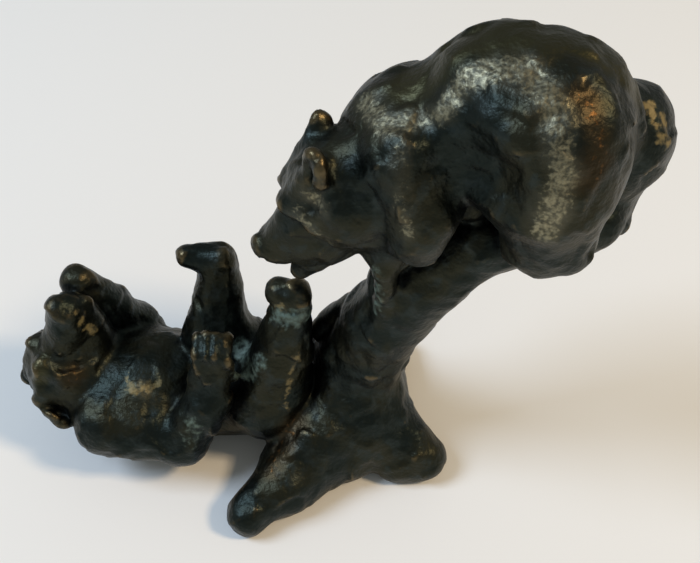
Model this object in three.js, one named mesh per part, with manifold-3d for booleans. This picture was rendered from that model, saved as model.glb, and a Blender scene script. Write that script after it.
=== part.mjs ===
// Bronze group: a bear on a leaning tree stump bends down to a second bear,
// which lies on its back at the foot of the stump with its paws in the air.
// One solid casting. Millimetres, +Z up, +X to the upper bear's rump, +Y away
// from the side that shows both faces. The origin is on the ground under the stump.

import * as THREE from 'three';
import { SimplifyModifier } from 'three/addons/modifiers/SimplifyModifier.js';
import { mergeVertices } from 'three/addons/utils/BufferGeometryUtils.js';
import Module from 'manifold-3d';

// Driving sizes
const PITCH = 1.0;             // spacing of the sampling grid
const BLOCK = 8;               // grid cells along one side of a sampled block
const FACES = 8900;            // triangles kept on the casting
const SNAP = 0.1;              // share of a grid edge kept clear at both of its ends
const SLIVER = 0.01;           // vertices closer than this become one
const GROUND = 0;              // height of the sawn-flat underside
const MUSCLE = 3;              // width of the soft blend between masses of the body
const JOINT = 2;               // blend where one length of a limb meets the next
const FOLD = 1.2;              // blend where two figures touch
const ROOT_FLARE = 4;          // blend where a root leaves the stump
const LOW = [-75.6, -34, -8];  // corners of the sampled space
const HIGH = [58, 34, 94];

// Vectors as plain arrays
const add = (a, b) => [a[0] + b[0], a[1] + b[1], a[2] + b[2]];
const sub = (a, b) => [a[0] - b[0], a[1] - b[1], a[2] - b[2]];
const times = (a, k) => [a[0] * k, a[1] * k, a[2] * k];
const dot = (a, b) => a[0] * b[0] + a[1] * b[1] + a[2] * b[2];
const cross = (a, b) => [
  a[1] * b[2] - a[2] * b[1],
  a[2] * b[0] - a[0] * b[2],
  a[0] * b[1] - a[1] * b[0],
];
const length = (a) => Math.sqrt(dot(a, a));
const unit = (a) => times(a, 1 / length(a));

// A frame of its own for a head, body or ear: a runs forward, b up, c to one side
class Frame {
  constructor(origin, forward, up) {
    const a = unit(forward);
    const b = unit(sub(up, times(a, dot(up, a))));
    this.origin = origin;
    this.axes = [a, b, cross(a, b)];
  }

  along(a, b, c) {
    const [A, B, C] = this.axes;
    return add(add(times(A, a), times(B, b)), times(C, c));
  }

  at(a, b, c) {
    return add(this.origin, this.along(a, b, c));
  }
}

// A limb: a cone with round ends from one joint to the next, squeezed along a
// direction to the share `flat` of its width
function limb(from, to, r1, r2, flat = 1, squeeze = [0, 0, 1]) {
  const n = unit(squeeze);
  const grow = 1 / flat - 1;
  const span = sub(to, from);
  const run = add(span, times(n, dot(span, n) * grow));
  const run2 = Math.max(dot(run, run), 1e-9);
  return {
    centre: times(add(from, to), 0.5),
    reach: length(span) / 2 + Math.max(r1, r2),
    distance(x, y, z) {
      let qx = x - from[0];
      let qy = y - from[1];
      let qz = z - from[2];
      const k = (qx * n[0] + qy * n[1] + qz * n[2]) * grow;
      qx += n[0] * k;
      qy += n[1] * k;
      qz += n[2] * k;
      const share = (qx * run[0] + qy * run[1] + qz * run[2]) / run2;
      const t = Math.min(1, Math.max(0, share));
      qx -= run[0] * t;
      qy -= run[1] * t;
      qz -= run[2] * t;
      return Math.sqrt(qx * qx + qy * qy + qz * qz) - (r1 + (r2 - r1) * t);
    },
  };
}

// A mass: an ellipsoid with three radii along the axes of a frame
const WORLD = new Frame([0, 0, 0], [1, 0, 0], [0, 1, 0]);
function mass(centre, radii, frame = WORLD) {
  const [A, B, C] = frame.axes;
  return {
    centre,
    reach: Math.max(...radii),
    distance(x, y, z) {
      const q = [x - centre[0], y - centre[1], z - centre[2]];
      const a = dot(q, A) / radii[0];
      const b = dot(q, B) / radii[1];
      const c = dot(q, C) / radii[2];
      const k0 = Math.sqrt(a * a + b * b + c * c);
      const k1 = Math.hypot(a / radii[0], b / radii[1], c / radii[2]);
      return k1 > 1e-6 ? (k0 * (k0 - 1)) / k1 : -Math.min(...radii);
    },
  };
}

function softMin(a, b, width) {
  const h = Math.max(width - Math.abs(a - b), 0) / width;
  return Math.min(a, b) - h * h * width * 0.25;
}

// A figure is modelled as in wax: forms are pressed on or cut away in turn
class Wax {
  constructor() {
    this.steps = [];
  }

  press(form, soft = JOINT) {
    this.steps.push({ form, soft, sign: 1 });
    return this;
  }

  carve(form, soft = 0.5) {
    this.steps.push({ form, soft, sign: -1 });
    return this;
  }

  // The forms that reach a ball of space, or all of them
  near(centre, radius) {
    return this.steps.filter(({ form, soft }) =>
      length(sub(form.centre, centre)) - form.reach - radius < 1 + soft);
  }

  static distance(steps, x, y, z) {
    let d = Infinity;
    for (const { form, soft, sign } of steps) {
      const e = form.distance(x, y, z);
      if (sign > 0) d = d === Infinity ? e : softMin(d, e, soft);
      else if (d !== Infinity) d = -softMin(-d, e, soft);
    }
    return d;
  }
}

// A rope: limbs laid end to end through several points, for a ridge or a groove
function rope(points, r1, r2) {
  const count = points.length - 1;
  const radius = (i) => r1 + ((r2 - r1) * i) / count;
  return points.slice(1).map((to, i) => limb(points[i], to, radius(i), radius(i + 1)));
}

// An ear: a thick narrow leaf with a rolled rim, hollowed in front
const EAR = 2.4;               // half its length
const EAR_WIDTH = 0.7;         // its width as a share of its length
function pressEar(wax, head, place, facing, standing) {
  const ear = new Frame(head.at(...place), head.along(...facing), head.along(...standing));
  const wide = EAR * EAR_WIDTH;
  wax.press(limb(ear.at(-0.3, -1.8, 0), ear.at(0.4, 0.9, 0), wide, wide, 0.8, ear.along(1, 0, 0)), 1);
  wax.carve(mass(ear.at(1.6, -0.9, 0), [1.4, 1.5, 0.9], ear), 0.3);
}

// A bear's head, about 26 long from the back of the ears to the nose. The mask of brow
// and cheek is on first, and the muzzle is then pressed in under its edge. The face
// says what differs: the chin and its radius, the cheek fill, the mouth's corner, gap
// and half height, the eye, and the ears and how they turn.
function pressHead(wax, head, face) {
  const egg = (a, b, c, radii) => mass(head.at(a, b, c), radii, head);
  const bar = (p, q, r1, r2) => limb(head.at(...p), head.at(...q), r1, r2);
  wax.press(egg(-3.2, -1.2, 0, [8.4, 7.2, 6.8]));
  const mask = [[1, 3.6, 2.5], [0.4, 1.8, 4.1], [0.7, -1, 4.5], [1.5, -4, 4.2], [2.4, -6.4, 3.2]];
  for (const side of [-1, 1]) {
    wax.press(egg(-3, -3.8, 3 * side, [5.6, 6, 4.6]), 1.5);
    wax.press(bar([-6, 3.9, 3.3 * side], [1, 3.6, 2.5 * side], 2.3, 1.9), 0.8);
    const edge = mask.map(([a, b, c]) => head.at(a, b, c * side));
    for (const part of rope(edge, 1.7, 1.2)) wax.press(part, 1);
    const lip = mask.slice(1).map(([a, b, c]) => head.at(a + 1.9, b, (c + 0.9) * side));
    for (const part of rope(lip, 0.9, 0.7)) wax.carve(part, 0.3);
  }
  wax.press(bar([1, -0.4, 0], [10.8, -0.6, 0], 4.5, 3.4), 0.35);
  wax.press(egg(...face.fill, [6.9, 4.9, 4.4]), 0.8);
  const [chin, chinRadius] = face.chin;
  wax.press(bar([-2, -6.2, 0], chin, 5, chinRadius), 1.5);
  wax.press(egg(12.3, 0.5, 0, [2.2, 2.6, 3]), 0.8);
  const [corner, gap, gape] = face.mouth;
  wax.carve(limb(head.at(...corner), head.at(...gap), 0.25, gape, 0.3, head.along(0, 1, 0)));
  const [ea, eb, ec] = face.eye;
  for (const side of [-1, 1]) {
    const socket = [[ea - 1.1, eb + 0.4, (ec + 0.7) * side], [ea + 1.2, eb - 0.5, (ec + 0.5) * side]];
    wax.carve(bar(...socket, 1.2, 0.8), 0.3);
  }
  for (const place of face.ears) {
    const outward = Math.sign(place[2]);
    const turned = face.earTurn.map(([a, b, c]) => [a, b, c * outward]);
    pressEar(wax, head, place, ...turned);
  }
}

// The upper bear, its head hanging over the branch
function upperBear() {
  const wax = new Wax();
  const trunk = new Frame([18, 3, 75], [-0.95, 0.3, -0.06], [0, 0, 1]);
  const chest = new Frame([9.5, 4.5, 69], [-0.9, 0.3, -0.32], [0, 0, 1]);
  wax.press(mass(chest.origin, [11.3, 10.4, 10.5], chest));
  wax.press(mass([18.6, 2.4, 75], [12.2, 12.2, 11], trunk), MUSCLE);
  wax.press(mass([25.6, -1, 75.3], [10.2, 12, 11.8], trunk), MUSCLE);
  wax.press(mass([30.5, 4, 71], [8.5, 8, 9]), MUSCLE);

  const farHip = [36.5, 5, 66];
  const farHock = [36, 3, 57.5];
  const farToes = [33, 1, 55];
  wax.press(mass([36, 4.5, 69.5], [8.5, 7.5, 8.5]));
  wax.press(limb(farHip, farHock, 6.2, 4.8));
  wax.press(limb(farHock, farToes, 4.8, 4.2));

  const nearHip = [26, -7.5, 70];
  const nearHock = [27.5, -6.5, 61.5];
  const nearToes = [25.7, -6.5, 61];
  wax.press(mass([25, -6.5, 73], [9, 7, 11]), MUSCLE);
  wax.press(limb(nearHip, nearHock, 7, 5.6), MUSCLE);
  wax.press(limb(nearHock, nearToes, 5.2, 5));

  const nearShoulder = [7.5, -2.4, 71];
  const nearWrist = [9.6, -5, 64.5];
  const nearPaw = [9.2, -5.5, 60.5];
  wax.press(limb(nearShoulder, nearWrist, 6.3, 5));
  wax.press(limb(nearWrist, nearPaw, 4.8, 4.5));
  const shoulderRidge = [[6.6, -5.6, 72.5], [7.4, -7.6, 67.5], [9.2, -8, 62]];
  for (const part of rope(shoulderRidge, 2, 2.2)) wax.press(part, 0.9);

  const farShoulder = [3.5, 3, 66];
  const farWrist = [5, -1, 58];
  const farPaw = [6, -1.5, 54.5];
  wax.press(limb(farShoulder, farWrist, 5.5, 4.2));
  wax.press(limb(farWrist, farPaw, 4.2, 4.2));
  wax.press(limb([6, 2.5, 67], [0.5, 0.5, 64], 8.4, 6.6));

  // The scooped flank, and the groove behind the near haunch that leaves its edge sharp
  wax.carve(mass([14.2, -17.4, 74.6], [7.8, 13, 9.8]), 1.6);
  const crupper = [[36, -4.5, 81], [34, -9.5, 78.8], [33.4, -12, 75], [33.4, -13.3, 70], [33, -13.5, 65]];
  for (const part of rope(crupper, 1.3, 1.9)) wax.carve(part, 0.6);
  wax.press(limb([34.2, 1, 79.8], [36.4, -1.8, 76], 1.6, 1.2), 1.2);

  const droop = THREE.MathUtils.degToRad(54);
  const forward = [-Math.cos(droop), 0, -Math.sin(droop)];
  const up = [-Math.sin(droop), 0, Math.cos(droop)];
  const head = new Frame([-4.5, 0, 62.6], forward, up);
  pressHead(wax, head, {
    chin: [[13.2, -6.3, 0], 2.1],
    fill: [5.5, -4, 0],
    mouth: [[11.5, -4.6, 0], [19, -4.4, 0], 1],
    eye: [-2.9, 2.8, 5.9],
    ears: [[-6.8, 4.4, -4.7], [-6.9, 4.2, 4.2]],
    earTurn: [[0.15, 0.35, 0.92], [-0.8, 0.6, 0]],
  });
  const collar = [[-2.6, -1.5, 74], [-0.6, -6.6, 70], [0.6, -9, 64.5], [0, -9, 59]];
  for (const part of rope(collar, 0.8, 1.3)) wax.carve(part, 1.4);
  return wax;
}

// The lower bear, on its back, with its mouth open and all four paws raised
function lowerBear() {
  const wax = new Wax();
  wax.press(limb([-42, 4, 9.6], [-16, 5.6, 9.2], 10, 9.5));
  wax.press(mass([-38, 3.5, 11.5], [11.5, 12, 9.5]), MUSCLE);
  wax.press(mass([-15, 5, 11], [10, 10.2, 10]), MUSCLE);

  const nearElbow = [-30.5, -7.4, 10.5];
  const nearWrist = [-25, -5.5, 19];
  wax.press(limb([-43.8, -4.6, 12], nearElbow, 6.7, 4.8));
  wax.press(limb(nearElbow, nearWrist, 4.8, 3.8), 1.5);
  wax.press(limb([-25, -5, 20], [-23, -2, 30], 3.8, 3.3, 0.7, [0.3, 1, 0]), FOLD);

  const farElbow = [-42, 15, 15];
  const farPaw = [-48.5, 11.5, 31.5];
  wax.press(limb([-46, 9, 14], farElbow, 6, 4.5));
  wax.press(limb(farElbow, farPaw, 4.5, 3.2), 1.5);

  wax.press(limb([-14.5, -0.5, 13], [-9.8, 1.6, 36.5], 7.6, 3.5), MUSCLE);
  wax.press(limb([-11.4, 2.2, 39.6], [-8.7, 1.6, 39.8], 2.6, 2.5), 0.8);

  const farKnee = [-24.5, 9.5, 21];
  wax.press(limb([-18, 8, 12], farKnee, 7, 6), MUSCLE);
  wax.press(mass([-26.5, 8.2, 23.5], [3.2, 3.4, 4.2]), 1);
  wax.press(limb(farKnee, [-23.3, 13, 33], 5.6, 3.9));
  wax.press(limb([-23, 13, 36], [-28.2, 13, 37], 3.3, 2.2), 1);

  wax.press(limb([-46, 4, 12], [-51, 3, 15], 8.5, 7), MUSCLE);
  const head = new Frame([-52.3, 3.4, 21], [0.25, 0.12, 0.955], [-0.87, -0.49, 0]);
  pressHead(wax, head, {
    chin: [[12.6, -3.9, 0], 1.1],
    fill: [2.2, -3.4, 0],
    mouth: [[6.5, -2.9, 0], [17, -2.4, 0], 0.6],
    eye: [4.4, 1.5, 4.4],
    ears: [[-8.2, 2.6, 5.9], [-9.6, 3.8, -4.8]],
    earTurn: [[0.8, 0.1, 0.55], [-0.25, 0.85, -0.47]],
  });
  return wax;
}

// The stump leans over into the branch that carries the upper bear. Ridges of old bark
// run down it and out along its roots.
function stump() {
  const wax = new Wax();
  const bend = [
    [[2, 2, 6], 8.5],
    [[2, 2, 20], 7.2],
    [[5.5, 1, 34], 6.8],
    [[11.5, 0.2, 45.4], 6.4],
    [[19, -0.2, 53.8], 5.4],
    [[28, -1, 57.6], 4.8],
    [[35, 0, 58.2], 4.5],
  ];
  for (let i = 1; i < bend.length; i += 1) {
    const [[from, r1], [to, r2]] = [bend[i - 1], bend[i]];
    wax.press(limb(from, to, r1, r2), 1);
  }
  wax.press(limb([0, -1, 13], [-12, -13, 6], 7.4, 4.6), ROOT_FLARE);
  wax.press(limb([-12, -13, 6], [-18.3, -19, 3.4], 4.6, 3.9), 1);
  wax.press(limb([-6, -4, 10], [-12.6, -9, 5.6], 6, 4.2));
  wax.press(limb([4, -2, 11], [13.5, -7.5, 4], 6.5, 4.5), ROOT_FLARE);
  wax.press(mass([0, -4, 5], [9, 7, 8]), ROOT_FLARE);
  wax.press(mass([9.5, -8, 3], [5, 4, 4]));
  wax.press(limb([0, 6, 20], [-7, 19, 3], 6, 3.2), ROOT_FLARE);
  wax.press(limb([4, 6, 10], [8.5, 18, 3.5], 6, 4), ROOT_FLARE);

  wax.press(limb([0.3, 4.8, 33.5], [-4.2, 5.5, 26.5], 2.6, 3.2, 0.6, [0.55, -0.75, 0.35]), 0.7);
  const web = [[6, -0.5, 50], [5.3, 0, 44.5], [4.9, 0.3, 40], [1.4, 1, 31], [-2.5, 1.5, 25]];
  for (const part of rope(web, 2.4, 3)) wax.press(part, 1);
  const ridges = [
    [[[5.2, -4.2, 52], [5.6, -3.4, 43], [4, -4.2, 34], [3.5, -4.4, 24]], 2, 1.2],
    [[[-2.5, -7.5, 14], [-10, -13.5, 8.8], [-17.5, -19, 5.6]], 1.5, 1.6],
    [[[6, -6.5, 12], [12.5, -9, 7]], 1.6, 1.8],
  ];
  for (const [points, r1, r2] of ridges) {
    for (const part of rope(points, r1, r2)) wax.press(part, 0.8);
  }
  return wax;
}

const FIGURES = [stump(), upperBear(), lowerBear()];

// Signed distance to the whole group, from the steps that count at a place
function groupDistance(stepLists, x, y, z) {
  let d = Infinity;
  for (const steps of stepLists) {
    const e = Wax.distance(steps, x, y, z);
    if (e === Infinity) continue;
    d = d === Infinity ? e : softMin(d, e, FOLD);
  }
  return d;
}

// The distance at every node of the grid; blocks away from the surface are skipped
function sampleGroup() {
  const size = LOW.map((low, i) => Math.ceil((HIGH[i] - low) / PITCH) + 1);
  const [nx, ny, nz] = size;
  const field = new Float32Array(nx * ny * nz);
  const at = (i, j, k) => i + nx * (j + ny * k);
  const all = FIGURES.map((figure) => figure.steps);
  const radius = (Math.sqrt(3) * BLOCK * PITCH) / 2;
  const far = radius * 1.6 + 1.5;
  for (let k0 = 0; k0 < nz; k0 += BLOCK) {
    for (let j0 = 0; j0 < ny; j0 += BLOCK) {
      for (let i0 = 0; i0 < nx; i0 += BLOCK) {
        const corner = [i0, j0, k0];
        const centre = corner.map((n, axis) => LOW[axis] + (n + BLOCK / 2) * PITCH);
        const middle = groupDistance(all, ...centre);
        const known = Math.abs(middle) > far;
        const near = known ? [] : FIGURES.map((figure) => figure.near(centre, radius));
        for (let k = k0; k < Math.min(k0 + BLOCK, nz); k += 1) {
          for (let j = j0; j < Math.min(j0 + BLOCK, ny); j += 1) {
            for (let i = i0; i < Math.min(i0 + BLOCK, nx); i += 1) {
              const place = [i, j, k].map((n, axis) => LOW[axis] + n * PITCH);
              const d = known ? middle : groupDistance(near, ...place);
              field[at(i, j, k)] = Number.isFinite(d) ? d : far;
            }
          }
        }
      }
    }
  }
  return { field, size, at };
}

// The surface where the distance is nought. Each cell is split into six tetrahedra
// that its neighbours share, so the skin is closed and no two sheets of it touch.
function skin({ field, size, at }) {
  const [nx, ny, nz] = size;
  const bits = [0, 1, 2, 3, 4, 5, 6, 7];
  const offset = bits.map((n) => at(n & 1, (n >> 1) & 1, n >> 2));
  const wedges = [[0, 1, 3, 7], [0, 1, 5, 7], [0, 2, 3, 7], [0, 2, 6, 7], [0, 4, 5, 7], [0, 4, 6, 7]];
  const made = new Int32Array(field.length * 8).fill(-1);
  const positions = [];
  const index = [];

  // The crossing on the edge from one corner of a cell to another, made once
  const crossing = (cell, home, a, b) => {
    const [low, high] = a < b ? [a, b] : [b, a];
    const key = (home + offset[low]) * 8 + (high ^ low);
    if (made[key] < 0) {
      const from = field[home + offset[low]];
      const to = field[home + offset[high]];
      const t = Math.min(1 - SNAP, Math.max(SNAP, from / (from - to)));
      for (let axis = 0; axis < 3; axis += 1) {
        const start = (low >> axis) & 1;
        const end = (high >> axis) & 1;
        positions.push(LOW[axis] + (cell[axis] + start + (end - start) * t) * PITCH);
      }
      made[key] = positions.length / 3 - 1;
    }
    return made[key];
  };

  const point = (n) => [positions[3 * n], positions[3 * n + 1], positions[3 * n + 2]];
  const face = (a, b, c, outward) => {
    const normal = cross(sub(point(b), point(a)), sub(point(c), point(a)));
    if (dot(normal, outward) > 0) index.push(a, b, c);
    else index.push(a, c, b);
  };

  for (let k = 0; k < nz - 1; k += 1) {
    for (let j = 0; j < ny - 1; j += 1) {
      for (let i = 0; i < nx - 1; i += 1) {
        const home = at(i, j, k);
        const solid = offset.map((step) => field[home + step] < 0);
        if (solid.every((s) => s === solid[0])) continue;
        for (const wedge of wedges) {
          const inner = wedge.filter((n) => solid[n]);
          const outer = wedge.filter((n) => !solid[n]);
          if (!inner.length || !outer.length) continue;
          const total = (list, axis) => list.reduce((sum, n) => sum + ((n >> axis) & 1), 0);
          const mean = (list, axis) => total(list, axis) / list.length;
          const outward = [0, 1, 2].map((axis) => mean(outer, axis) - mean(inner, axis));
          const cut = (a, b) => crossing([i, j, k], home, a, b);
          if (inner.length === 2) {
            const [a, b] = inner;
            const [c, d] = outer;
            const ring = [cut(a, c), cut(a, d), cut(b, d), cut(b, c)];
            face(ring[0], ring[1], ring[2], outward);
            face(ring[0], ring[2], ring[3], outward);
          } else {
            const [lone, others] = inner.length === 1 ? [inner[0], outer] : [outer[0], inner];
            face(...others.map((n) => cut(lone, n)), outward);
          }
        }
      }
    }
  }
  const geometry = new THREE.BufferGeometry();
  geometry.setAttribute('position', new THREE.Float32BufferAttribute(positions, 3));
  geometry.setIndex(index);
  return geometry;
}

const wasm = await Module();
wasm.setup();

function solidOf(geometry) {
  return new wasm.Manifold(new wasm.Mesh({
    numProp: 3,
    vertProperties: new Float32Array(geometry.getAttribute('position').array),
    triVerts: new Uint32Array(geometry.getIndex().array),
  }));
}

function geometryOf(solid) {
  const mesh = solid.getMesh();
  const geometry = new THREE.BufferGeometry();
  geometry.setAttribute('position', new THREE.BufferAttribute(mesh.vertProperties, 3));
  geometry.setIndex(new THREE.BufferAttribute(mesh.triVerts, 1));
  return geometry;
}

// Everything under the ground line, as a block to cut away
function groundBlock() {
  const corners = [];
  for (let n = 0; n < 8; n += 1) {
    const [x, y, z] = [n & 1, (n >> 1) & 1, n >> 2];
    const side = (axis, high) => (high ? HIGH[axis] + 1 : LOW[axis] - 1);
    corners.push(side(0, x), side(1, y), z ? GROUND : LOW[2] - 1);
  }
  const faces = [[0, 2, 3, 1], [4, 5, 7, 6], [0, 1, 5, 4], [2, 6, 7, 3], [0, 4, 6, 2], [1, 3, 7, 5]];
  const geometry = new THREE.BufferGeometry();
  geometry.setAttribute('position', new THREE.Float32BufferAttribute(corners, 3));
  geometry.setIndex(faces.flatMap(([a, b, c, d]) => [a, b, c, a, c, d]));
  return geometry;
}

// The outer body alone: a pocket closed off between two forms is filled
function outerBody(geometry) {
  const bodies = solidOf(mergeVertices(geometry, SLIVER)).decompose();
  bodies.sort((a, b) => b.volume() - a.volume());
  return bodies[0];
}

async function castGroup() {
  const fine = skin(sampleGroup());
  const spare = fine.getIndex().count / 3 - FACES;
  const kept = await new SimplifyModifier().modify(fine, spare / 2);
  const standing = outerBody(kept).subtract(solidOf(groundBlock()));
  return geometryOf(outerBody(geometryOf(standing)));
}

const bronze = new THREE.MeshStandardMaterial({ color: 0x2e332f, roughness: 0.45, metalness: 0.9 });
bronze.name = 'dark patinated bronze';

const casting = new THREE.Mesh(await castGroup(), bronze);
casting.name = 'bronze_bear_group';

const sculpture = new THREE.Group();
sculpture.name = 'bear_sculpture';
sculpture.add(casting);

export default sculpture;
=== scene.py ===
# %% [markdown]
# # A small bronze group of two bears
# A bear stands on a leaning tree stump and bends its head to the raised foot of a second
# bear, which lies on its back below. It is one solid casting with a dark patina, so it
# has one node and one body. This script loads that solid, shapes a finer skin of the
# same form over it, gives it the finish of old bronze, and sets up floor, lamps and camera.

import math
import bpy
import numpy as np
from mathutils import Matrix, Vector


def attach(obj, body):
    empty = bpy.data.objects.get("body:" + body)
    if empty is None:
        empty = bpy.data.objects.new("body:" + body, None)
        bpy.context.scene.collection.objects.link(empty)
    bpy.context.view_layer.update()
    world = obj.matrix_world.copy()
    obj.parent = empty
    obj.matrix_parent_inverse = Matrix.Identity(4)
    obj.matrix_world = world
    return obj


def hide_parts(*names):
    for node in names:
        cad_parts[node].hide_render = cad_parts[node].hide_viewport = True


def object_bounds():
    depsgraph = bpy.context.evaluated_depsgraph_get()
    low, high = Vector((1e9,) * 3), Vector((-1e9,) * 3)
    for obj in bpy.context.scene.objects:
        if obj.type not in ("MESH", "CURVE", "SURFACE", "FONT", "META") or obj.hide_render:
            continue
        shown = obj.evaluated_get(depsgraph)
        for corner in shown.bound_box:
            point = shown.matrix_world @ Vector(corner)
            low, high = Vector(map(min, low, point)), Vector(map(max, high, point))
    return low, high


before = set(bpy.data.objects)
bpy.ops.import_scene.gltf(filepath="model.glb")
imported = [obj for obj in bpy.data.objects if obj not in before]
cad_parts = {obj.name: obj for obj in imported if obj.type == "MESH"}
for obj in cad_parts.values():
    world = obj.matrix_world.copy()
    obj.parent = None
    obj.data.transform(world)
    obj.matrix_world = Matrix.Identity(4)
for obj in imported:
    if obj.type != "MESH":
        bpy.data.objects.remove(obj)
solid_box = np.array(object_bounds())
print("solid box in mm", (solid_box * 1000).round(1).tolist())

# %% [markdown]
# A figure like this starts as wax: the sculptor presses pellets on and scrapes hollows
# out, and the founder casts the result in bronze. The same can be done in code with a
# distance field, a function that says how far a point lies from the surface. Metaballs
# also melt together, but their creases are hard to control, and a subdivision cage has
# to be redrawn for each change of pose. With distances, a crease is just a narrow blend.
# Sizes in these cells are in millimetres, and the mesh is scaled to metres at the end.

# %% Vectors, and axes of their own for a head or an ear
MM = 0.001


def row(*numbers):
    return np.array(numbers, np.float32)


def unit(v):
    v = np.asarray(v, float)
    return (v / np.linalg.norm(v)).astype(np.float32)


class Axes:
    """a runs forward, b up and c to one side of a head, an ear or a trunk."""

    def __init__(self, origin, forward, up):
        a = unit(forward)
        up = np.asarray(up, float)
        b = unit(up - a * float(up @ a))
        self.origin = row(*origin)
        self.rows = np.stack([a, b, np.cross(a, b)]).astype(np.float32)

    def along(self, a, b, c):
        return self.rows.T @ row(a, b, c)

    def at(self, a, b, c):
        return self.origin + self.along(a, b, c)


WORLD = Axes((0, 0, 0), (1, 0, 0), (0, 1, 0))
print("world axes", WORLD.rows.tolist())

# %% [markdown]
# Two kinds of pellet are enough. A limb is a cone with round ends from one joint to the
# next, and it can be squeezed flat like a paw. A mass is an egg with three radii, for a
# chest, a haunch or a cheek. Each knows a ball that encloses it, so that far pellets can
# be left out when a place is measured. Two distances are blended by a soft minimum, which
# is how one pellet melts into the next.

# %% Pellets of wax


class Pellet:
    def __init__(self, distance, centre, reach):
        self.distance = distance
        self.centre = np.asarray(centre, np.float32)
        self.reach = float(reach)


def limb(start, end, r1, r2, flat=1.0, squeeze=(0, 0, 1)):
    start, end, n = row(*start), row(*end), unit(squeeze)
    grow = np.float32(1 / flat - 1)
    span = end - start
    run = span + n * (span @ n) * grow
    run2 = max(float(run @ run), 1e-9)

    def distance(p):
        q = p - start
        if flat != 1.0:
            q = q + (q @ n)[:, None] * (n * grow)
        t = np.clip((q @ run) / run2, 0, 1)
        q = q - t[:, None] * run
        return np.sqrt(np.einsum("ij,ij->i", q, q)) - (r1 + (r2 - r1) * t)

    return Pellet(distance, (start + end) / 2, np.linalg.norm(span) / 2 + max(r1, r2))


def mass(centre, radii, axes=WORLD):
    centre, radii = row(*centre), row(*radii)

    def distance(p):
        q = (p - centre) @ axes.rows.T / radii
        k0 = np.sqrt(np.einsum("ij,ij->i", q, q))
        q = q / radii
        k1 = np.sqrt(np.einsum("ij,ij->i", q, q))
        return np.where(k1 > 1e-6, k0 * (k0 - 1) / np.maximum(k1, 1e-6), -radii.min())

    return Pellet(distance, centre, radii.max())


def soft_min(a, b, width):
    h = np.maximum(width - np.abs(a - b), 0) / np.float32(width)
    return np.minimum(a, b) - h * h * np.float32(width * 0.25)


ball = mass((0, 0, 0), (5, 5, 5))
print("8 mm from the middle of a 5 mm ball reads %.1f mm" % ball.distance(row(8, 0, 0)[None])[0])

# %% [markdown]
# A figure is the list of pellets pressed on and scraped away, in the order they were
# worked. A wide blend makes muscle that flows into muscle, and a narrow one leaves a
# crease, as where the cheek overhangs the muzzle. A rope is a row of limbs through
# several points: a rib of the stump, the rim of an ear or a groove. The widths of the
# blends are in millimetres.

# %% The wax of one figure
MUSCLE = 3.0
JOINT = 2.0
FOLD = 1.2
CREASE = 0.4
ROOT_FLARE = 4.0
NEAR_SLACK = 1.0


class Wax:
    def __init__(self):
        self.steps = []

    def work(self, pellets, soft, sign):
        pellets = pellets if isinstance(pellets, list) else [pellets]
        self.steps += [(pellet, soft, sign) for pellet in pellets]

    def press(self, pellets, soft=JOINT):
        self.work(pellets, soft, 1)

    def carve(self, pellets, soft=CREASE):
        self.work(pellets, soft, -1)

    def near(self, centre, radius):
        return [
            step
            for step in self.steps
            if np.linalg.norm(step[0].centre - centre)
            < step[0].reach + radius + step[1] + NEAR_SLACK
        ]


def rope(points, r1, r2):
    count = len(points) - 1
    radii = [r1 + (r2 - r1) * i / count for i in range(count + 1)]
    return [limb(points[i], points[i + 1], radii[i], radii[i + 1]) for i in range(count)]


def wax_distance(steps, p):
    d = None
    for pellet, soft, sign in steps:
        if sign > 0:
            e = pellet.distance(p)
            d = e if d is None else soft_min(d, e, soft)
        elif d is not None:
            d = -soft_min(-d, pellet.distance(p), soft)
    return d


print("blends in mm: muscle", MUSCLE, "joint", JOINT, "fold", FOLD, "crease", CREASE)


# %% [markdown]
# An ear of such a bear is a thick leaf, only 5 to 6 mm high. Its rim is rolled forward
# round a small cup. It is built as a flattened limb, a rope round its edge, and a cup
# scraped out last, so that the cup stays crisp.

# %% An ear
EAR = 2.6
EAR_WIDTH = 0.65
EAR_THICK = 0.65
EAR_RIM = 0.75
EAR_CUP = (1.4, 1.3, 0.6)
RIM_DEGREES = range(-20, 221, 24)


def press_ear(wax, head, place, facing, standing):
    ear = Axes(head.at(*place), head.along(*facing), head.along(*standing))
    wide = EAR * EAR_WIDTH
    root, tip = ear.at(-0.5, -1.8, 0), ear.at(0, 0.8, 0)
    wax.press(limb(root, tip, wide, wide, EAR_THICK, ear.along(1, 0, 0)), 1.0)
    turns = [math.radians(degrees) for degrees in RIM_DEGREES]
    rim = EAR - EAR_RIM * 0.5
    edge = [ear.at(0.5, rim * math.sin(t), rim * EAR_WIDTH * math.cos(t)) for t in turns]
    wax.press(rope(edge, EAR_RIM * 0.75, EAR_RIM * 1.2), 0.4)
    wax.carve(mass(ear.at(1.5, -0.8, 0), EAR_CUP, ear), 0.3)


print("ear leaf %.1f mm wide inside its rim" % (2 * EAR * EAR_WIDTH))


# %% [markdown]
# Both bears have the same head: a short broad skull, a mask of brow and cheek that
# stands a millimetre proud of the muzzle, and a blunt nose. The mask comes first with
# wide blends, and the muzzle is then pushed in with a narrow one, which leaves the
# overhanging edge that the photograph shows. One function makes both heads in their own
# axes, from a short list of what differs: the end of the chin and its radius, the middle
# of the fill under the muzzle, the mouth, the eyes, the ears, and the two ways an ear
# faces and stands. The mouth is a thin wedge cut in last, from its corner to the gap in
# front. An eye is a small ball in a pit.

# %% A head
EYE = (0.75, 0.75, 0.75)
# From brow to jaw on one side, in the head's own axes.
MASK = [(1.0, 3.6, 2.5), (0.4, 1.8, 4.1), (0.7, -1.0, 4.5), (1.5, -4.0, 4.2), (2.4, -6.4, 3.2)]


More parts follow.
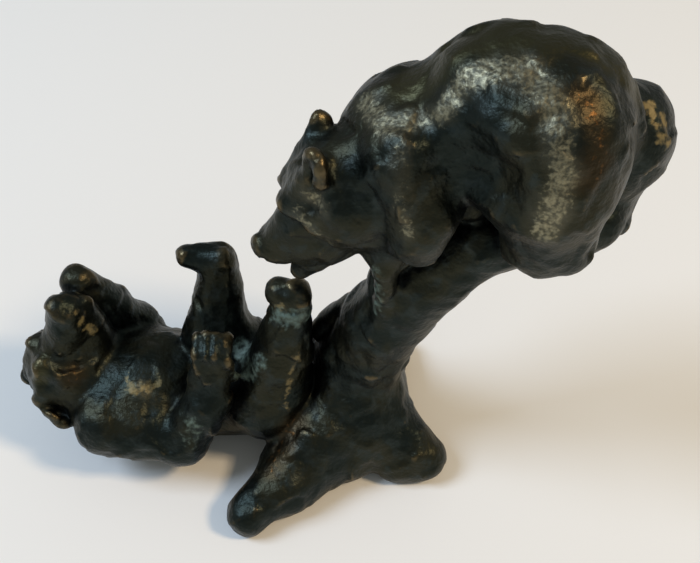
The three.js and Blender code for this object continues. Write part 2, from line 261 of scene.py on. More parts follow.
def press_head(wax, head, face):
    def egg(a, b, c, radii):
        return mass(head.at(a, b, c), radii, head)

    def bar(p, q, r1, r2):
        return limb(head.at(*p), head.at(*q), r1, r2)

    wax.press(egg(-3.2, -1.2, 0, (8.4, 7.2, 6.8)))
    for side in (-1, 1):
        wax.press(egg(-3.0, -3.8, 3.0 * side, (5.6, 6.0, 4.6)), 1.5)
        wax.press(bar((-6.0, 3.9, 3.3 * side), (1.0, 3.6, 2.5 * side), 2.3, 1.9), 0.8)
        edge = [head.at(a, b, c * side) for a, b, c in MASK]
        under = [head.at(a + 1.9, b, (c + 0.9) * side) for a, b, c in MASK[1:]]
        wax.press(rope(edge, 1.7, 1.2), 1.0)
        wax.carve(rope(under, 0.9, 0.7), 0.3)
    wax.press(bar((1, -0.4, 0), (10.8, -0.6, 0), 4.5, 3.4), 0.35)
    wax.press(egg(*face["fill"], (6.9, 4.9, 4.4)), 0.8)
    chin, chin_radius = face["chin"]
    wax.press(bar((-2, -6.2, 0), chin, 5.0, chin_radius), 1.5)
    wax.press(egg(12.3, 0.5, 0, (2.2, 2.6, 3.0)), 0.8)
    corner, gap, gape = face["mouth"]
    slit = limb(head.at(*corner), head.at(*gap), 0.25, gape, 0.3, head.along(0, 1, 0))
    wax.carve(slit)
    a, b, c = face["eye"]
    for side in (-1, 1):
        wax.carve(bar((14.6, 0.2, 1.3 * side), (12.6, 0.9, 3.2 * side), 0.4, 0.3), 0.2)
        back, front = (a - 1.1, b + 0.4, (c + 0.3) * side), (a + 1.2, b - 0.5, (c + 0.1) * side)
        wax.carve(bar(back, front, 1.2, 0.8), 0.3)
        wax.press(egg(a, b - 0.1, (c - 1.1) * side, EYE), 0.2)
    for place in face["ears"]:
        outward = math.copysign(1, place[2])
        turn = [(a, b, c * outward) for a, b, c in face["ear_turn"]]
        press_ear(wax, head, place, *turn)


print("mask from brow to jaw has", len(MASK), "points a side")


# %% [markdown]
# The upper bear's trunk is three big eggs with smaller ones at rump and belly. A shoulder
# and a haunch stand out on the near side, with a scooped flank between them, which gets a
# small egg at its top before it is scooped. The rear edge of the near haunch is sharp,
# because the groove behind it is scraped out after the muscle is on. A shallow groove
# also parts the head from the shoulder. A rigged cage could be posed again, but a casting
# never is, so its limbs are placed once, joint by joint.

# %% The upper bear


def upper_bear():
    wax = Wax()
    trunk = Axes((18, 3, 75), (-0.95, 0.30, -0.06), (0, 0, 1))
    chest = Axes((9.5, 4.5, 69.0), (-0.90, 0.30, -0.32), (0, 0, 1))
    wax.press(mass(chest.origin, (11.3, 10.4, 10.5), chest))
    wax.press(mass((19.8, 2.2, 74.8), (11.3, 12.2, 10.9), trunk), MUSCLE)
    wax.press(mass((25.6, -1, 75.3), (10.2, 12.0, 11.8), trunk), MUSCLE)
    wax.press(mass((30.5, 4, 71), (8.5, 8.0, 9.0)), MUSCLE)
    wax.press(mass((16.5, 1, 61.8), (5, 4, 3.4)))

    far_hip, far_hock, far_toes = (36.5, 5, 66), (36, 3, 57.5), (33, 1, 55)
    wax.press(mass((36, 4.5, 69.5), (8.5, 7.5, 8.5)), JOINT)
    wax.press(limb(far_hip, far_hock, 6.2, 4.8), JOINT)
    wax.press(limb(far_hock, far_toes, 4.8, 4.2))

    near_hip, near_hock, near_toes = (26, -7.5, 70), (27.5, -6.5, 61.5), (25.7, -6.5, 61)
    wax.press(mass((25, -6.5, 73), (9.0, 7.0, 11)), MUSCLE)
    wax.press(limb(near_hip, near_hock, 7.0, 5.6), MUSCLE)
    wax.press(limb(near_hock, near_toes, 5.2, 5.0))

    near_shoulder, near_wrist, near_paw = (7.5, -2.4, 71), (9.6, -5, 64.5), (9.2, -5.5, 60.5)
    wax.press(limb(near_shoulder, near_wrist, 6.3, 5.0), JOINT)
    wax.press(limb(near_wrist, near_paw, 4.8, 4.5))
    wax.press(rope([(6.6, -5.4, 72.5), (7.4, -7.0, 67.5), (9.2, -7.6, 62)], 1.8, 2.2), 1.6)

    far_shoulder, far_wrist, far_paw = (3.5, 3, 66), (5, -1, 58), (6.0, -1.5, 54.5)
    wax.press(limb(far_shoulder, far_wrist, 5.5, 4.2), JOINT)
    wax.press(limb(far_wrist, far_paw, 4.2, 4.2))
    wax.press(limb((6, 2.5, 67.0), (0.5, 0.5, 64), 8.4, 6.6), JOINT)

    wax.press(mass((19.5, -3.4, 79.6), (5, 6, 4.5)), MUSCLE)
    wax.carve(mass((13.2, -19.0, 74.2), (8.8, 13, 10.2)), 1.8)
    haunch_top = [(36, -4.5, 81), (34, -9.5, 78.8)]
    haunch_rear = [(33.4, -12, 75), (33.4, -13.3, 70), (33, -13.5, 65)]
    wax.carve(rope(haunch_top + haunch_rear, 1.4, 0.9), 0.6)
    wax.press(limb((34.2, 1, 79.8), (36.4, -1.8, 76), 1.6, 1.2), 1.2)

    droop = math.radians(54)
    forward = (-math.cos(droop), 0, -math.sin(droop))
    up = (-math.sin(droop), 0, math.cos(droop))
    head = Axes((-4.5, 0, 62.6), forward, up)
    face = {
        "chin": ((13.4, -6.1, 0), 1.8),
        "fill": (5.5, -4.0, 0),
        "mouth": ((11.5, -4.6, 0), (19, -4.4, 0), 1.0),
        "eye": (-2.9, 2.8, 5.9),
        "ears": [(-7.5, 5.0, -4.7), (-6.9, 4.2, 4.2)],
        "ear_turn": [(0.44, 0.61, 0.65), (-0.72, 0.7, 0)],
    }
    press_head(wax, head, face)
    collar = [(-2.6, -1.5, 74), (-0.6, -6.6, 70), (0.6, -9.0, 64.5), (0, -9, 59)]
    wax.carve(rope(collar, 0.8, 1.3), 1.4)
    return wax


above = upper_bear()
print("upper bear", len(above.steps), "pellets")


# %% [markdown]
# The lower bear lies on its back with its head up. Its near forepaw is turned to the
# viewer with four toes curled over it, and its near hind foot is the one that the upper
# bear sniffs. Each toe is a short rope, and a thinner one is scraped out between two. On
# the raised foot two scraped lines are enough, because its toes are barely parted.

# %% The lower bear
TOES = 4
TOE_STEP = 1.6


def lower_bear():
    wax = Wax()
    wax.press(limb((-42, 4, 9.6), (-16, 5.6, 9.2), 10, 9.5))
    wax.press(mass((-38, 3.5, 11.5), (11.5, 12, 9.5)), MUSCLE)
    wax.press(mass((-15, 5.0, 11), (10, 10.2, 10)), MUSCLE)

    near_elbow, near_wrist = (-30.5, -7.4, 10.5), (-25, -5.5, 19)
    wax.press(limb((-43.8, -4.6, 12), near_elbow, 6.7, 4.8))
    wax.press(limb(near_elbow, near_wrist, 4.8, 3.8), 1.5)
    wax.press(limb((-25, -5, 20), (-23, -2, 30), 3.8, 3.3, 0.7, (0.3, 1, 0)), FOLD)
    for n in range(TOES):
        x, top = -25.6 + TOE_STEP * n, 32.5 - 0.3 * (n - 1.2) ** 2
        knuckle, tip = (x, -4.1, top - 1.5), (x + 0.2, -4.7 + 0.2 * n, 27.6 + 0.5 * n)
        wax.press(rope([(x, -1.2, top), knuckle, tip, (x + 0.3, -3.0, 23)], 1.0, 0.9), 0.3)
    for n in range(TOES - 1):
        x = -24.8 + TOE_STEP * n
        gap = [(x, -2.2, 33.2), (x, -5.3, 31.4), (x + 0.2, -6.2, 27.4)]
        wax.carve(rope(gap, 0.5, 0.4), 0.3)

    far_elbow, far_paw = (-42, 15, 15), (-48.5, 11.5, 31.5)
    wax.press(limb((-46, 9, 14), far_elbow, 6, 4.5))
    wax.press(limb(far_elbow, far_paw, 4.5, 3.2), 1.5)

    wax.press(limb((-14.5, -0.5, 13), (-9.8, 1.6, 36.5), 7.6, 3.5), MUSCLE)
    wax.press(limb((-11.4, 2.2, 39.6), (-8.7, 1.6, 39.8), 2.6, 2.5), 0.8)
    for x in (-11.0, -9.2):
        wax.carve(limb((x, -1.2, 42.0), (x, -0.9, 38.2), 0.5, 0.4), 0.5)

    far_knee = (-24.5, 9.5, 21)
    wax.press(limb((-18, 8, 12), far_knee, 7, 6), MUSCLE)
    wax.press(mass((-26.5, 8.2, 23.5), (3.2, 3.4, 4.2)), 1.0)
    wax.press(limb(far_knee, (-23.3, 13, 33), 5.6, 3.9))
    wax.press(limb((-23, 13, 36), (-28.2, 13, 37), 3.3, 2.2), 1.0)

    wax.press(limb((-46, 4, 12), (-51, 3, 15), 8.5, 7.0), MUSCLE)
    head = Axes((-52.3, 3.4, 21), (0.25, 0.12, 0.955), (-0.87, -0.49, 0))
    face = {
        "chin": ((12.6, -3.9, 0), 1.0),
        "fill": (2.2, -3.4, 0),
        "mouth": ((6.5, -2.9, 0), (17, -2.4, 0), 0.6),
        "eye": (4.4, 1.5, 4.4),
        "ears": [(-8.8, 2.9, 6.2), (-9.6, 3.8, -4.8)],
        "ear_turn": [(0.88, -0.4, -0.12), (-0.25, 0.85, -0.47)],
    }
    press_head(wax, head, face)
    return wax


below = lower_bear()
print("lower bear", len(below.steps), "pellets")


# %% [markdown]
# The stump leans over into the branch that carries the upper bear, and spreads into four
# roots. Old bark and the sculptor's knife leave long ribs on it, which are ropes pressed
# on with a narrow blend, and broad scraped planes between them.

# %% The stump


def stump():
    wax = Wax()
    bend = [
        ((2, 2, 6), 8.5),
        ((2, 2, 20), 7.2),
        ((5.5, 1, 34), 6.8),
        ((11.5, 0.2, 45.4), 6.4),
        ((19, -0.2, 53.8), 5.4),
        ((28, -1, 57.6), 4.8),
        ((35, 0, 58.2), 4.5),
    ]
    for (start, r1), (end, r2) in zip(bend, bend[1:]):
        wax.press(limb(start, end, r1, r2), 1.0)
    wax.press(limb((0, -1, 13), (-12, -13, 6), 7.4, 4.6), ROOT_FLARE)
    wax.press(limb((-12, -13, 6), (-18.3, -19, 3.4), 4.8, 3.9), 1.0)
    wax.press(limb((-2, -7, 4), (-10.5, -13.8, 3.4), 5.0, 4.2), ROOT_FLARE)
    wax.press(limb((-6, -4, 10), (-12.6, -9.0, 5.6), 6.0, 4.2), JOINT)
    wax.press(limb((4, -2, 11), (13.5, -7.5, 4), 6.5, 4.5), ROOT_FLARE)
    wax.press(mass((0, -4, 5), (9, 7, 8)), ROOT_FLARE)
    wax.press(mass((9.5, -8, 3), (5, 4, 4)), JOINT)
    wax.press(limb((0, 6, 20), (-7, 19, 3), 6, 3.2), ROOT_FLARE)
    wax.press(limb((4, 6, 10), (8.5, 18, 3.5), 6, 4), ROOT_FLARE)

    bark = limb((0.3, 4.8, 33.5), (-4.2, 5.5, 26.5), 2.6, 3.2, 0.6, (0.55, -0.75, 0.35))
    wax.press(bark, 0.7)
    web = [(6, -0.5, 50), (5.3, 0, 44.5), (4.9, 0.3, 40), (1.4, 1, 31), (-2.5, 1.5, 25)]
    wax.press(rope(web, 2.4, 3), 1.0)
    ribs = [
        ([(5.2, -4.2, 52), (5.6, -3.4, 43), (4.0, -4.2, 34), (3.5, -4.4, 24)], 2.0, 1.2),
        ([(-2.5, -7.5, 14), (-10, -13.5, 8.8), (-17.5, -19, 5.6)], 1.5, 1.6),
        ([(6, -6.5, 12), (12.5, -9, 7.0)], 1.6, 1.8),
    ]
    for points, r1, r2 in ribs:
        wax.press(rope(points, r1, r2), 0.8)
    return wax


tree = stump()
print("stump", len(tree.steps), "pellets")


# %% [markdown]
# The field is measured on a grid, and only in blocks that the surface can reach. A block
# is passed over when its middle lies further from the surface than its corners can
# reach, with some slack, because the distances of eggs and blends aren't exact. The
# ground cuts everything off flat at height nought.

# %% Measure the group on a grid
PITCH = 0.5
BLOCK_MM = 8.0
REACH = 1.6
SLACK_MM = 1.5
GROUND = 0.0
LOW = row(-76, -34, -3)
HIGH = row(58, 34, 94)
FAR = 99.0
figures = [tree, above, below]


def group_distance(step_lists, p):
    d = None
    for steps in step_lists:
        e = wax_distance(steps, p) if steps else None
        if e is not None:
            d = e if d is None else soft_min(d, e, FOLD)
    return np.full(len(p), FAR, np.float32) if d is None else d


def measure_grid():
    size = np.ceil((HIGH - LOW) / PITCH).astype(int) + 1
    field = np.empty(tuple(size), np.float32)
    cells = int(round(BLOCK_MM / PITCH))
    everything = [figure.steps for figure in figures]
    for corner in np.ndindex(*(-(-size // cells))):
        first = np.array(corner) * cells
        last = np.minimum(first + cells, size)
        spans = [LOW[i] + np.arange(first[i], last[i]) * PITCH for i in range(3)]
        centre = np.array([(s[0] + s[-1]) / 2 for s in spans], np.float32)
        radius = float(np.linalg.norm([(s[-1] - s[0]) / 2 for s in spans]))
        middle = group_distance(everything, centre[None])[0]
        view = field[tuple(slice(a, b) for a, b in zip(first, last))]
        if abs(middle) > radius * REACH + SLACK_MM:
            view[:] = middle
            continue
        near = [figure.near(centre, radius) for figure in figures]
        p = np.stack(np.meshgrid(*spans, indexing="ij"), -1).reshape(-1, 3).astype(np.float32)
        view[:] = group_distance(near, p).reshape(view.shape)
    depth = GROUND - (LOW[2] + np.arange(size[2]) * PITCH)
    return np.maximum(field, depth.astype(np.float32))


field = measure_grid()
print("grid", field.shape, "solid share %.3f" % float((field < 0).mean()))

# %% [markdown]
# The surface is where the field changes sign, like the boundary between wax and air. Each
# grid cell that it crosses gets one vertex, at the mean of the crossings on its edges, and
# each crossed edge gets one quad. This gives even quads, which marching cubes would not.

# %% Skin the grid with quads


def skin(field):
    solid = field < 0
    shape = np.array(field.shape) - 1
    corners = [np.array(c) for c in np.ndindex(2, 2, 2)]
    count = np.zeros(shape, np.int8)
    for corner in corners:
        count += solid[tuple(slice(corner[i], corner[i] + shape[i]) for i in range(3))]
    crossed = (count > 0) & (count < 8)
    cell = np.argwhere(crossed)
    number = np.full(crossed.shape, -1, np.int64)
    number[crossed] = np.arange(len(cell))
    total, hits = np.zeros((len(cell), 3)), np.zeros(len(cell))
    for a in corners:
        for b in corners:
            if (b - a).sum() != 1 or (b < a).any():
                continue
            da, db = field[tuple((cell + a).T)], field[tuple((cell + b).T)]
            cut = (da < 0) != (db < 0)
            t = np.where(cut, da / np.where(cut, da - db, 1), 0)
            total += np.where(cut[:, None], a + (b - a) * t[:, None], 0)
            hits += cut
    points = (cell + total / hits[:, None]) * PITCH + LOW
    quads = []
    for axis in range(3):
        step = np.eye(3, dtype=int)[axis]
        side = [np.eye(3, dtype=int)[(axis + i) % 3] for i in (1, 2)]
        here = tuple(slice(0 if i == axis else 1, n) for i, n in enumerate(shape))
        there = tuple(slice(1, n + 1) if i == axis else slice(1, n) for i, n in enumerate(shape))
        edge = np.argwhere(solid[here] != solid[there]) + (1 - step)
        ring = [edge - side[0] - side[1], edge - side[1], edge, edge - side[0]]
        quad = np.stack([number[tuple(r.T)] for r in ring], 1)
        out = solid[tuple(edge.T)]
        quads.append(np.where(out[:, None], quad, quad[:, ::-1]))
    return points, np.concatenate(quads)


points, quads = skin(field)
print("skin", len(points), "points", len(quads), "quads")

# %% [markdown]
# A scraped hollow can leave a loose crumb inside the mesh. Every point takes the lowest
# number among its neighbours until nothing changes, and only the largest group stays.

# %% Keep one body
neighbours = np.concatenate([quads[:, [i, (i + 1) % 4]] for i in range(4)])
neighbours = np.unique(np.concatenate([neighbours, neighbours[:, ::-1]]), axis=0)


def groups(count, pairs):
    label = np.arange(count)
    while True:
        lower = label.copy()
        np.minimum.at(lower, pairs[:, 0], label[pairs[:, 1]])
        lower = lower[lower]
        if (lower == label).all():
            return label
        label = lower


label = groups(len(points), neighbours)
kept = label == np.bincount(label).argmax()
renumber = np.cumsum(kept) - 1
print("crumb points dropped", int((~kept).sum()))
quads = renumber[quads[kept[quads[:, 0]]]]
neighbours = renumber[neighbours[kept[neighbours[:, 0]]]]
points = points[kept]

# %% [markdown]
# Wax that was worked with a knife has no perfectly round place left on it. It is made of
# small scraped planes under 4 mm across that meet in soft creases, over slow swells of 7
# mm. Real mesh relief is used for these, because they change the outline and catch the
# light in shapes. Marks less than a fifth of a millimetre deep are left to bump in the
# material.
# The noise is hashed from whole numbers, so each run gives the same casting. A point that
# would pass the box of the solid is held at it, mostly on the flat underside, and the
# cell prints how many are and how far they would have gone.

# %% Scraped planes and swells
SEED = 7
PLANE_MM = 3.6
PLANE_SLOPE = 0.16
PLANE_CREASE = 11
SWELL_MM = 7.0
SWELL_DEPTH = 0.15
SWELL_SALT = 9


def scatter(cells, salt):
    n = cells.astype(np.int64)
    h = n[:, 0] * 73856093 ^ n[:, 1] * 19349663 ^ n[:, 2] * 83492791 ^ (SEED + salt) * 48271
    h = (h ^ h >> 15) * 1103515245 & 0x7FFFFFFF
    h = (h ^ h >> 13) * 69069 & 0x7FFFFFFF
    return ((h ^ h >> 9) & 0xFFFF) / 65535


def planes(p, size):
    q = p / size
    base = np.floor(q)
    total, weight = np.zeros(len(p)), np.zeros(len(p))
    for step in np.ndindex(3, 3, 3):
        cell = base + np.array(step) - 1
        draw = np.stack([scatter(cell, salt) for salt in range(6)], 1)
        away = q - cell - draw[:, :3]
        near = np.exp(-PLANE_CREASE * (away**2).sum(1))
        total += near * (away * (draw[:, 3:] * 2 - 1)).sum(1)
        weight += near
    return total / np.maximum(weight, 1e-9)


def corner_shares(f):
    for step in np.ndindex(2, 2, 2):
        step = np.array(step)
        yield step, np.prod(np.where(step > 0, f, 1 - f), axis=1)


def swell(p, size, salt):
    q = p / size
    base = np.floor(q)
    f = q - base
    shares = corner_shares(f * f * (3 - 2 * f))
    return sum(share * scatter(base + step, salt) for step, share in shares) * 2 - 1


def summed(index, vectors, count):
    return np.stack([np.bincount(index, vectors[:, i], count) for i in range(3)], 1)


def normals(points):
    a, b, c, d = (points[quads[:, i]] for i in range(4))
    face = np.cross(c - a, d - b)
    total = summed(quads.ravel(), np.repeat(face, 4, axis=0), len(points))
    return total / np.maximum(np.linalg.norm(total, axis=1), 1e-9)[:, None]


relief = PLANE_SLOPE * PLANE_MM * planes(points, PLANE_MM)
relief = relief + SWELL_DEPTH * swell(points, SWELL_MM, SWELL_SALT)
print("relief in mm %.2f to %.2f" % (relief.min(), relief.max()))
points = points + normals(points) * relief[:, None]
inside = np.clip(points, solid_box[0] / MM, solid_box[1] / MM)
held = np.linalg.norm(points - inside, axis=1)
print("held inside the solid's box: %d points, at most %.2f mm" % ((held > 0).sum(), held.max()))
points = inside
print("points", len(points), "triangles", 2 * len(quads))

# %% [markdown]
# Old bronze tells where hands have been: high edges are rubbed bright. Hollows get painted
# shade, darker where nearby surface closes them in. Both can be measured on the mesh. A
# point stands high if it is proud of the average of its surroundings, and it lies in a
# hollow if the surface is still close some millimetres out along its normal. Each wear row
# is the reach of that average and the height at which the edge is fully rubbed.

# %% Measure high edges, and hollows for painted shade
WEAR = [(1.2, 0.30), (2.6, 1.10)]
HOLLOW_SHADE_REACHES = [1.5, 4.0]
links = np.bincount(neighbours[:, 0], minlength=len(points))


def averaged(values, reach_mm):
    for _ in range(max(1, round((reach_mm / PITCH) ** 2))):
        around = summed(neighbours[:, 0], values[neighbours[:, 1]], len(values))
        values = around / links[:, None]
    return values


def field_at(p):
    q = (p - LOW) / PITCH
    i = np.clip(np.floor(q).astype(int), 0, np.array(field.shape) - 2)
    return sum(share * field[tuple((i + step).T)] for step, share in corner_shares(q - i))


normal = normals(points)
wear = np.zeros(len(points))
for reach_mm, full_mm in WEAR:
    proud = ((points - averaged(points, reach_mm)) * normal).sum(1)
    wear = np.maximum(wear, np.clip(proud / full_mm, 0, 1))
# Painted shade: the closer the surface stands out along the normal, the darker the hollow.
hollow = np.zeros(len(points))
for reach_mm in HOLLOW_SHADE_REACHES:
    open_share = field_at(points + normal * reach_mm) / reach_mm
    hollow += np.clip(1 - open_share, 0, 1) / len(HOLLOW_SHADE_REACHES)
print("wear mean %.3f hollow mean %.3f" % (wear.mean(), hollow.mean()))

# %% [markdown]
# Some marks belong to this casting: a pale pitted band round the dark flank, coppery
# flecks on the haunch, a brown back, yellow residue in creases, and verdigris round the
# raised foot. Each is a rope laid over the surface, with a radius inside which the mark
# is full, and from there its weight falls off. Paint by texture would need an unwrapped
# mesh, and a rope of a few points does not.

# %% Where the marks lie
MARKS = {
    "grey": [
        ([(1.6, 3, 76.6), (4.4, -2.6, 76.8), (10.6, -4.1, 79.7), (14, -2.9, 84)], 0.9),
        ([(14, -2.9, 84), (19.9, -3.8, 85.8), (22.9, -8.5, 84.6)], 1.2),
        ([(22.9, -8.5, 84.6), (24.7, -13.4, 77.4), (23.6, -14.8, 69.8)], 1.1),
        ([(6.4, -5.9, 75.5), (6.6, -8.3, 69.9), (7.6, -9.9, 65.1)], 0.1),
        ([(-7.0, -4.4, 64.6), (-6.2, -5.6, 63.4), (-4.3, -6.0, 61.6), (-2.2, -5.6, 59.4)], 0.1),
        ([(-5.6, -5.4, 67.2), (-3.4, -5.7, 66.2)], 0.2),
        ([(-37.5, -2.3, 19.6), (-35.8, -3.4, 17.5), (-36.5, -5, 15)], 0.2),
    ],
    "copper": [
        ([(26, -8, 85), (27, -9.3, 84), (28.4, -11.2, 81.2), (28.4, -12.5, 77)], 0.7),
        ([(-48.8, -1.8, 21.7), (-49.5, -1.5, 21)], 0.7),
        ([(-9.6, -6.6, 14), (-14, -13, 10.5)], 1.2),
    ],
    "brown": [
        ([(8, 3, 80), (14, 2.5, 84), (22, 1, 86), (29, -1, 85.5), (34, 1, 81)], 2.4),
        ([(-54, -2, 29), (-55.5, -2.5, 22)], 1.0),
    ],
    "gold": [
        ([(-46.6, 3.4, 32.4), (-45.4, 3.2, 29), (-45, 4.2, 27.5)], 0.5),
        ([(-38.9, -1.7, 20.1), (-38.1, -2.4, 19.6)], 1.0),
        ([(-35.7, -2.6, 19.4), (-34.5, -1.5, 19.9)], 0.9),
        ([(-8.4, -3.7, 30.5), (-10, -5.4, 25), (-11.3, -6.7, 19.9)], 0.5),
        ([(41, -0.6, 73), (38.4, 0.9, 76.5)], 0.9),
        ([(-12.4, 0, 38.4), (-8.0, 0, 38.4)], 0.5),
    ],
    "verdigris": [
        ([(-19.5, 3.6, 22.2), (-18.1, -3.7, 24.7), (-16.5, -4, 29)], 1.6),
        ([(-13.4, -1, 37.5), (-10, -2.4, 37.5), (-7.2, -1, 37.5)], 1.2),
        ([(4.2, -5, 53.2), (4.2, -5, 47), (4.2, -3.8, 42.3)], 0.1),
        ([(-27, -8, 18), (-28.5, -9, 14)], 1.2),
    ],
}
FADE_MM = 4.2


def mark_weight(ropes):
    best = np.zeros(len(points))
    for places, radius in ropes:
        for part in rope(places, radius, radius):
            best = np.maximum(best, 1 - np.clip(part.distance(points) / FADE_MM, 0, 1))
    return best


weights = {name: mark_weight(ropes) for name, ropes in MARKS.items()}
weights.update(wear=wear, hollow=hollow)
print({name: round(float(value.mean()), 4) for name, value in weights.items()})

# %% [markdown]
# The numbers go over to Blender as one mesh. The weights ride along as attributes of the
# points, where the material reads them by name. The normals are smooth, as on metal that
# was polished and waxed.

# %% Hand the skin to Blender
mesh = bpy.data.meshes.new("bronze_skin")
mesh.from_pydata((points * MM).tolist(), [], quads.tolist())
mesh.polygons.foreach_set("use_smooth", [True] * len(mesh.polygons))
for name, value in weights.items():
    layer = mesh.attributes.new(name, "FLOAT", "POINT")
    layer.data.foreach_set("value", value.astype(np.float32))
casting = bpy.data.objects.new("bronze_casting", mesh)
bpy.context.collection.objects.link(casting)
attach(casting, "root")
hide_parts("bronze_bear_group")
print("mesh", len(mesh.vertices), "vertices", [a.name for a in mesh.attributes])

# %% [markdown]
# Colours are given as screen colours and turned into linear light by one function.
# Another adds a shader node, sets it up and links it, so that each material below reads
# as a list of layers.

# %% Colours and nodes


def linear(hex_colour):
    channels = [int(hex_colour[i : i + 2], 16) / 255 for i in (1, 3, 5)]
    light = [c / 12.92 if c <= 0.04045 else ((c + 0.055) / 1.055) ** 2.4 for c in channels]
    return (*light, 1.0)


def node(material, kind, inputs=None, **settings):
    made = material.node_tree.nodes.new(kind)
    for name, value in settings.items():
        setattr(made, name, value)
    for name, value in (inputs or {}).items():
        if isinstance(value, bpy.types.NodeSocket):
            material.node_tree.links.new(value, made.inputs[name])
        else:
            made.inputs[name].default_value = value
    return made


print("middle grey in linear light %.3f" % linear("#808080")[0])

# %% [markdown]
# Patinated bronze is metal under a thin dark sulphide film with wax on it, so it stays a
# metal with a dark colour. The film is uneven: on a green-black ground it is brown in
# clouds of a centimetre and blue-grey in mottles of two millimetres. Hollows are painted
# near black as shade. The layers after that are what use adds: the back is worn to brown,
# the grey band has lost its wax, rubbed edges show the metal, and the residues are dull
# salts that do not shine.

# %% The patina, layer by layer
bronze = bpy.data.materials.new("patinated_bronze")
bronze.use_nodes = True
shader = bronze.node_tree.nodes["Principled BSDF"]
place = node(bronze, "ShaderNodeTexCoord").outputs["Object"]


def per_metre(size_mm):
    return 1 / (size_mm * MM)


# Each row has the weight it reads, the size of its break-up in mm, where it sets in,
# where it is full, its most, and then its colour, roughness and share of metal.
LAYERS = [
    (None, 9.0, 0.42, 0.62, 0.9, "#343429", 0.43, 1.0),
    (None, 2.4, 0.50, 0.68, 0.6, "#363d3b", 0.45, 1.0),
    # Painted shade: this row turns hollows near black.
    ("hollow", 1.6, 0.75, 1.25, 0.9, "#181b1b", 0.52, 1.0),
    ("brown", 4.0, 0.90, 1.50, 0.8, "#45432f", 0.44, 1.0),
    ("grey", 3.2, 1.00, 1.80, 0.8, "#605e50", 0.50, 1.0),
    ("grey", 0.6, 1.32, 1.70, 0.9, "#928d74", 0.44, 1.0),
    ("copper", 4.0, 0.90, 1.50, 0.7, "#3c3222", 0.42, 1.0),
    ("copper", 0.8, 1.52, 1.74, 0.6, "#7a5630", 0.42, 1.0),
    ("wear", 1.3, 1.00, 1.75, 0.8, "#6a5d43", 0.32, 1.0),
    ("gold", 1.5, 1.38, 1.60, 0.8, "#857548", 0.60, 0.0),
    ("verdigris", 1.0, 1.24, 1.72, 0.7, "#74887c", 0.80, 0.0),
]
colour, roughness, metal = linear("#252b28"), 0.41, 1.0
for name, size_mm, start, full, most, tint, rough, metallic in LAYERS:
    settings = {"Vector": place, "Scale": per_metre(size_mm), "Detail": 4.0}
    amount = node(bronze, "ShaderNodeTexNoise", settings).outputs["Fac"]
    if name:
        weight = node(bronze, "ShaderNodeAttribute", attribute_name=name).outputs["Fac"]
        amount = node(bronze, "ShaderNodeMath", {0: amount, 1: weight}, operation="ADD").outputs[0]
    limits = {"Value": amount, "From Min": start, "From Max": full, "To Max": most}
    mask = node(bronze, "ShaderNodeMapRange", limits, interpolation_type="SMOOTHSTEP").outputs[0]
    # A mix node takes two colours at 6 and 7, and two plain values at 2 and 3.
    both = {0: mask, 6: colour, 7: linear(tint)}
    colour = node(bronze, "ShaderNodeMix", both, data_type="RGBA").outputs[2]
    roughness = node(bronze, "ShaderNodeMix", {0: mask, 2: roughness, 3: rough}).outputs[0]
    metal = node(bronze, "ShaderNodeMix", {0: mask, 2: metal, 3: metallic}).outputs[0]
for socket, value in (("Base Color", colour), ("Roughness", roughness), ("Metallic", metal)):
    bronze.node_tree.links.new(value, shader.inputs[socket])
print("layers", len(LAYERS), "nodes", len(bronze.node_tree.nodes))

# %% [markdown]
# Three sizes of bump finish the surface: file and scraper marks of two millimetres, pits
# of just under one, as left by the investment, and a fine grain. Real cast grain is a
# tenth or two of a millimetre wide, which is too fine to show from here, so it is drawn
# 0.6 mm wide. Bump is enough here, because none of it shows on the outline.

# %% Marks, pits and grain
BUMPS = [
    ("ShaderNodeTexNoise", {"Scale": per_metre(2.2), "Detail": 3.0}, 0.16),
    ("ShaderNodeTexNoise", {"Scale": per_metre(0.6), "Detail": 4.0}, 0.10),
    ("ShaderNodeTexVoronoi", {"Scale": per_metre(0.9)}, 0.05),
]
bump = None
for kind, inputs, depth_mm in BUMPS:
    height = node(bronze, kind, {"Vector": place, **inputs}).outputs[0]
    dent = {"Height": height, "Distance": depth_mm * MM}
    if bump is not None:
        dent["Normal"] = bump
    bump = node(bronze, "ShaderNodeBump", dent).outputs[0]
bronze.node_tree.links.new(bump, shader.inputs["Normal"])
mesh.materials.append(bronze)
print("bump depths in mm", [depth_mm for _, _, depth_mm in BUMPS])

# %% [markdown]
# The group stands on matt, pale paper, which has no sheen and takes soft shadows. A
# plane is enough, because only its colour and the shadows on it show.

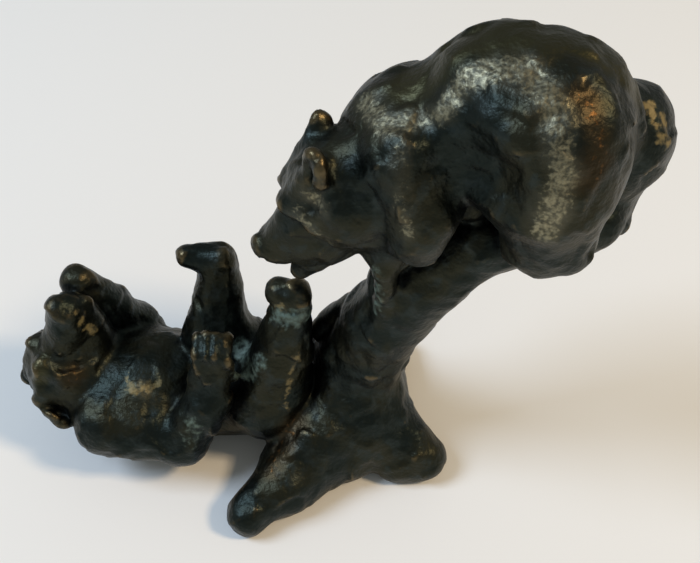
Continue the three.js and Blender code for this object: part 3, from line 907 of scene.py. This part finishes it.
# %% Floor
HALF = 1
plane = bpy.data.meshes.new("floor_sheet")
corners = [(-HALF, -HALF, 0), (HALF, -HALF, 0), (HALF, HALF, 0), (-HALF, HALF, 0)]
plane.from_pydata(corners, [], [(0, 1, 2, 3)])
floor = bpy.data.objects.new("floor", plane)
bpy.context.collection.objects.link(floor)
paper = bpy.data.materials.new("pale_paper")
paper.use_nodes = True
sheet = paper.node_tree.nodes["Principled BSDF"]
sheet.inputs["Base Color"].default_value = linear("#ebebe7")
sheet.inputs["Roughness"].default_value = 0.9
plane.materials.append(paper)
print("floor at height", floor.location.z)

# %% [markdown]
# The photograph has two shadows, a bluish one to the left and a wide warm one to the
# right. So there are two lights in front: a cool window on the left, and a smaller, warmer
# room light on the right. Two area lamps and a grey world give the same without walls.

# %% Lamps


def lamp(name, where, aim, size, watts, tint):
    data = bpy.data.lights.new(name, "AREA")
    data.size, data.energy, data.color = size, watts, linear(tint)[:3]
    made = bpy.data.objects.new(name, data)
    bpy.context.collection.objects.link(made)
    made.location = where
    made.rotation_euler = (Vector(aim) - Vector(where)).to_track_quat("-Z", "Y").to_euler()
    print("lamp", name, watts, "W")


lamp("window", (-0.62, -0.07, 0.80), (0, 0, 0.03), 0.40, 6.5, "#d4e6ff")
lamp("room", (0.58, -0.16, 0.70), (0, 0, 0.03), 0.14, 4.2, "#ffe0b6")
world = bpy.data.worlds.new("soft_room")
world.use_nodes = True
background = world.node_tree.nodes["Background"]
background.inputs["Color"].default_value = linear("#eef2f0")
background.inputs["Strength"].default_value = 0.34
bpy.context.scene.world = world

# %% [markdown]
# The camera stands where the photographer held theirs: 16 cm away, in front of the near
# side, looking 48 degrees down. The angle and distance were found by laying the outline
# of the solid over the photograph.

# %% Camera
FRAME_PX = 700
FOCAL_PX = 800
LOOK_DOWN = 48
STAND = (0, -0.084, 0.138)
camera_data = bpy.data.cameras.new("camera")
camera_data.sensor_width = 36
camera_data.lens = camera_data.sensor_width * FOCAL_PX / FRAME_PX
camera_data.clip_start = 0.005
camera = bpy.data.objects.new("camera", camera_data)
camera.location = STAND
camera.rotation_euler = (math.radians(90 - LOOK_DOWN), 0, 0)
bpy.context.collection.objects.link(camera)
bpy.context.scene.camera = camera
bpy.context.scene.view_settings.view_transform = "Standard"
print("lens %.1f mm" % camera_data.lens)
